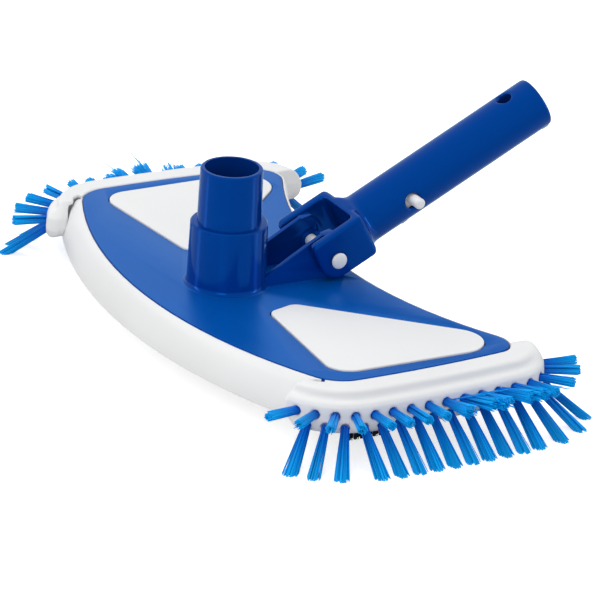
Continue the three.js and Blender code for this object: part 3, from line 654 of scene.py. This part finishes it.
tuft_filaments, tuft_root = 110, 2.0
tuft_kinds = [
    ("upper", {
     "thickness": 0.46, "reach": 20,
     "fan_width": 2.5, "fan_height": 2.5, "ragged": 0.08}),
    ("splayed", {
     "thickness": 0.44, "reach": 21,
     "fan_width": 5.2, "fan_height": 3.6, "ragged": 0.15}),
    ("lower", {
     "thickness": 0.46, "reach": 36,
     "fan_width": 4.2, "fan_height": 2.4, "ragged": 0.03}),
]
models_of_kind = 3
upper_models, splayed_models, lower_models = [
    [bundle(f"{kind}_tuft_{k}", tuft_filaments, root_radius=tuft_root, **sizes)
     for k in range(models_of_kind)]
    for kind, sizes in tuft_kinds
]
stray = bundle("stray_filaments", 3, thickness=0.4, reach=24, root_radius=0.6,
               fan_width=1.6, fan_height=1.2, ragged=0.3)
root_depth = 1.5
upper_rise = 0.04
lower_slope = 20.4 / 26
upper_lead = [-79, -56, -36, -18]
lower_lead = [-48, -42, -31, -3]


def side_bristles(splayed, strays):
    """All tufts of one end: some lean out of line, and stray filaments stand between them."""
    tufts = []
    for index, (place, out) in enumerate(tuft_places(rows["upper"])):
        leaning = toward(upper_lead[index]) if index < len(upper_lead) else out
        direction = Vector((leaning.x, leaning.y, upper_rise)).normalized()
        root = on_head(*(place - root_depth * out), rows["upper"]["height"])
        if index in splayed:
            direction = (direction + Vector(splayed[index])).normalized()
            tufts.append(planted(splayed_models[index % models_of_kind], root, direction))
        else:
            tufts.append(planted(upper_models[index % models_of_kind], root, direction))
        if index in strays:
            tufts.append(planted(stray, root, (direction + Vector(strays[index])).normalized()))
    for index, (place, out) in enumerate(tuft_places(rows["lower"])):
        leaning = toward(lower_lead[index]) if index < len(lower_lead) else out
        direction = Vector((leaning.x, leaning.y, -lower_slope)).normalized()
        root = on_head(*(place - root_depth * out), rows["lower"]["height"])
        tufts.append(planted(lower_models[index % models_of_kind], root, direction))
    return tufts


# The blue is painted darker at the roots as painted shade and lighter at the tips as a painted
# highlight.
bristle_blue = filament_finish("blue_filament", (0.0, 0.10, 0.62), (0.0, 0.46, 0.98), 0.34)
bristle_blue.node_tree.nodes["Principled BSDF"].inputs["Specular IOR Level"].default_value = 0.15
bristles = joined("side_bristles_right", side_bristles(
    {8: (0, 0.15, 0.02), 9: (0, 0.45, 0.05), 10: (0, 0.2, 0.04), 11: (0, 0.6, 0.02),
     12: (0, 0.3, 0.03)},
    {8: (0, 1.6, 0.4), 9: (0, 1.1, 0.36), 13: (0.1, 0.5, 0.02)}))
trimmed_at_floor(bristles)
bristles_left = joined("side_bristles", side_bristles(
    {7: (0, -0.35, 0.12), 8: (0, -0.15, 0.2), 9: (0, 0.3, 0.05)},
    {7: (0, -0.5, 0.5), 8: (0, -0.4, 0.62)}))
trimmed_at_floor(bristles_left)
model = bristles_left
bristles_left = mirrored(model, "side_bristles_left")
bpy.data.objects.remove(model)
fit(bristles, "head", "bristle_blue", bristle_blue, "side_brush_right")
fit(bristles_left, "head", "bristle_blue", bristle_blue, "side_brush_left")
for model in [*upper_models, *splayed_models, *lower_models, stray]:
    bpy.data.objects.remove(model)

# ------------------------------------------------------------------ black floor bristles
# Two curved strips of short black filament in slots of the base's floor, before and behind
# the suction mouth, and a short row under each end of the head.

strip_low, strip_height, strip_half_width = 15.3, 2, 2
floor_rows = [
    ("floor_bristles_front", "floor_brush_front", front_centre, front_radius - 25, 127.5),
    ("floor_bristles_rear", "floor_brush_rear", Vector((0, 311.5)), 253, 104),
]
floor_tufts = 30
floor_margin = 2.5
end_row_x, end_row_start, end_row_pitch, end_row_tufts = 128, 3, 3.6, 6
short_model = bundle("short_tuft", 40, thickness=0.34, reach=strip_low + 1.5, root_radius=1.5,
                     fan_width=2.4, fan_height=2.0, ragged=0.04)
# The black is painted darker at the roots as painted shade and a little lighter at the tips as a
# painted highlight.
black_filament = filament_finish("black_filament", (0.004, 0.004, 0.005),
                                 (0.012, 0.012, 0.014), 0.42)
down = Vector((0, 0, -1))


def short_tufts(places):
    """A short tuft, straight down, at each place."""
    return [planted(short_model, on_head(*place, strip_low + 0.5), down) for place in places]


for name, node, centre, radius, half_length in floor_rows:
    turn = math.degrees(math.asin(half_length / radius))
    backing = swept(name, [
        (-strip_half_width, strip_low), (strip_half_width, strip_low),
        (strip_half_width, strip_low + strip_height),
        (-strip_half_width, strip_low + strip_height),
    ], [(centre, radius, -90 - turn, -90 + turn, 40)])
    apply_modifier(backing, "BEVEL", width=0.3 * mm, segments=2)
    margin = math.degrees(floor_margin / radius)
    places = arc(centre, radius, -90 - turn + margin, -90 + turn - margin, floor_tufts - 1)
    strip = joined(name, [backing, *short_tufts(places)])
    trimmed_at_floor(strip)
    fit(strip, "head", "bristle_black", black_filament, node)

end_row = joined("end_bristles_right", short_tufts([
    Vector((end_row_x, end_row_start + end_row_pitch * k)) for k in range(end_row_tufts)]))
trimmed_at_floor(end_row)
end_row_left = mirrored(end_row, "end_bristles_left")
for row in (end_row, end_row_left):
    row.data.materials.clear()
    row.data.materials.append(black_filament)
    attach(row, "head")
bpy.data.objects.remove(short_model)
bpy.data.objects.remove(filament)

# ------------------------------------------------------------------ weight covers
# Two white rounded-triangle lids, pressed into the deck over the ballast, a little proud.

cover_corners = [(44.5, 0.3, 6), (128.3, -7, 13), (128.3, 109.2, 16), (39.3, 17.4, 7)]
cover_round = 0.6
cover_gap = 0.45


def rounded(corners, inset, steps=16):
    """An outline with rounded corners, from the place and radius of each corner."""
    outline = []
    for before, (x, y, radius), after in zip(
            corners[-1:] + corners, corners, corners[1:] + corners[:1]):
        corner = Vector((x, y))
        back = (Vector(before[:2]) - corner).normalized()
        ahead = (Vector(after[:2]) - corner).normalized()
        half = back.angle(ahead) / 2
        centre = corner + (back + ahead).normalized() * radius / math.sin(half)
        start = heading(centre, corner + back * radius / math.tan(half))
        turn = 180 - math.degrees(2 * half)
        outline += arc(centre, radius - inset, start, start + turn, steps)
    return outline


low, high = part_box("weight_cover_right")
cover = prism("cover_right", rounded(cover_corners, cover_gap), low[2] / mm, high[2] / mm)
ease_edges(cover, cover_round * mm, 4)
cover_left = mirrored(cover, "cover_left")
only(cover_left)
bpy.ops.object.shade_smooth_by_angle(angle=math.radians(30))
fit(cover, "head", "white_plastic", white, "weight_cover_right")
fit(cover_left, "head", "white_plastic", white, "weight_cover_left")

# ------------------------------------------------------------------ ballast and screws
# Steel slabs lie in the pockets under the covers, and plated screws hold the base and the
# bumpers from below.

steel = moulded("zinc_plated_steel", (0.56, 0.57, 0.60),
                roughness=0.34, grain=2400, depth=0.01 * mm, cloud=0.08, metal=1)
for name in nodes:
    if "screw" in name or "ballast" in name:
        nodes[name].data.materials.clear()
        nodes[name].data.materials.append(steel)

# ------------------------------------------------------------------ handle
# The fork and its tube are one thick moulding in the same blue as the deck. The tube slides
# into a telescopic pole, and the fork swings on the pin between the ears.

handle = bpy.data.objects.new("handle_moulding", nodes["handle"].data.copy())
bpy.context.collection.objects.link(handle)
whole_faces(handle)
softened(handle, 26)
fit(handle, "handle", "blue_plastic", polished_blue, "handle")

# ------------------------------------------------------------------ pivot pin and its cap
# A white moulded pin through fork and ears, with a domed head, and a cap pushed in behind.

for node in ("pivot_pin", "pivot_pin_cap"):
    pin = eased_copy(node.replace("pivot", "domed"), node, 0.5 * mm, 4)
    fit(pin, "handle", "white_plastic", white, node)

# ------------------------------------------------------------------ spring clip
# One strip of springy white plastic, bent double inside the tube. Its two round buttons come
# out through the tube's sides and snap into the pole's holes.

for name, node, body in (("clip_bow", "clip_bend", "handle"),
                         ("clip_button_right", "clip_arm_right", "clip_arm_right"),
                         ("clip_button_left", "clip_arm_left", "clip_arm_left")):
    fit(eased_copy(name, node, 0.35 * mm), body, "white_plastic", white, node)

# ------------------------------------------------------------------ studio
# A white sweep under soft light, and the camera as it stood for the photograph.

floor_size, floor_glow, air_fill = 6, 0.7, 0.55
bpy.ops.object.select_all(action="DESELECT")
bpy.ops.mesh.primitive_plane_add(size=floor_size, location=(0, 0, 0))
ground = bpy.context.object
ground.name = "studio_floor"
paper = bpy.data.materials.new("studio_paper")
paper.use_nodes = True
tree = paper.node_tree
shader = tree.nodes["Principled BSDF"]
shader.inputs["Base Color"].default_value = (0.8, 0.8, 0.8, 1)
shader.inputs["Roughness"].default_value = 0.22
shader.inputs["Emission Color"].default_value = (1, 1, 1, 1)
path = tree.nodes.new("ShaderNodeLightPath")
lift = tree.nodes.new("ShaderNodeMath")
lift.operation = "MULTIPLY"
lift.inputs[1].default_value = floor_glow
tree.links.new(path.outputs["Is Camera Ray"], lift.inputs[0])
tree.links.new(lift.outputs["Value"], shader.inputs["Emission Strength"])
ground.data.materials.append(paper)

world = bpy.data.worlds.new("studio_air")
bpy.context.scene.world = world
world.use_nodes = True
sky = world.node_tree.nodes["Background"]
sky.inputs["Color"].default_value = (1, 1, 1, 1)
path = world.node_tree.nodes.new("ShaderNodeLightPath")
either = world.node_tree.nodes.new("ShaderNodeMath")
either.operation = "MAXIMUM"
level = world.node_tree.nodes.new("ShaderNodeMapRange")
level.inputs["To Min"].default_value = air_fill
level.inputs["To Max"].default_value = 1
world.node_tree.links.new(path.outputs["Is Camera Ray"], either.inputs[0])
world.node_tree.links.new(path.outputs["Is Glossy Ray"], either.inputs[1])
world.node_tree.links.new(either.outputs["Value"], level.inputs["Value"])
world.node_tree.links.new(level.outputs["Result"], sky.inputs["Strength"])


def softbox(name, place, aim, size, watts):
    """A soft rectangular lamp that is turned towards a place."""
    lamp = bpy.data.lights.new(name, "AREA")
    lamp.shape = "RECTANGLE"
    lamp.size, lamp.size_y = size
    lamp.energy = watts
    thing = bpy.data.objects.new(name, lamp)
    bpy.context.collection.objects.link(thing)
    thing.location = place
    thing.rotation_euler = (Vector(aim) - Vector(place)).to_track_quat("-Z", "Y").to_euler()
    return thing


overhead = softbox("overhead_softbox", (-0.3, -0.3, 1.7), (0, 0, 0.03), (1.8, 1.2), 13)
overhead.visible_glossy = False
softbox("front_strip", (-0.8, -1.4, 0.6), (0, 0, 0.05), (0.35, 1.1), 4)
softbox("rear_strip", (0.8, 1.4, 0.6), (0, 0, 0.05), (0.35, 1.1), 4)
softbox("camera_softbox", (1.3, -1.2, 0.9), (0, 0, 0.03), (0.8, 1.1), 6)

turn, height, lean = math.radians(60.161), math.radians(22.377), math.radians(3.151)
distance, aim_right, aim_down = 4.566, 0.037676, 0.009328
back = Vector((math.sin(turn) * math.cos(height), -math.cos(turn) * math.cos(height),
               math.sin(height)))
level_right = Vector((math.cos(turn), math.sin(turn), 0))
level_up = back.cross(level_right)
right = math.cos(lean) * level_right + math.sin(lean) * level_up
up = math.cos(lean) * level_up - math.sin(lean) * level_right
aim = on_head(0, 0, deck_height) + aim_right * right - aim_down * up
camera = bpy.data.cameras.new("photo_camera")
camera.lens = 537.5
camera.clip_end = 20
viewer = bpy.data.objects.new("photo_camera", camera)
bpy.context.collection.objects.link(viewer)
place = aim + distance * back
viewer.matrix_world = Matrix((
    (right.x, up.x, back.x, place.x),
    (right.y, up.y, back.y, place.y),
    (right.z, up.z, back.z, place.z),
    (0, 0, 0, 1),
))
bpy.context.scene.camera = viewer
bpy.context.scene.view_settings.view_transform = "Standard"
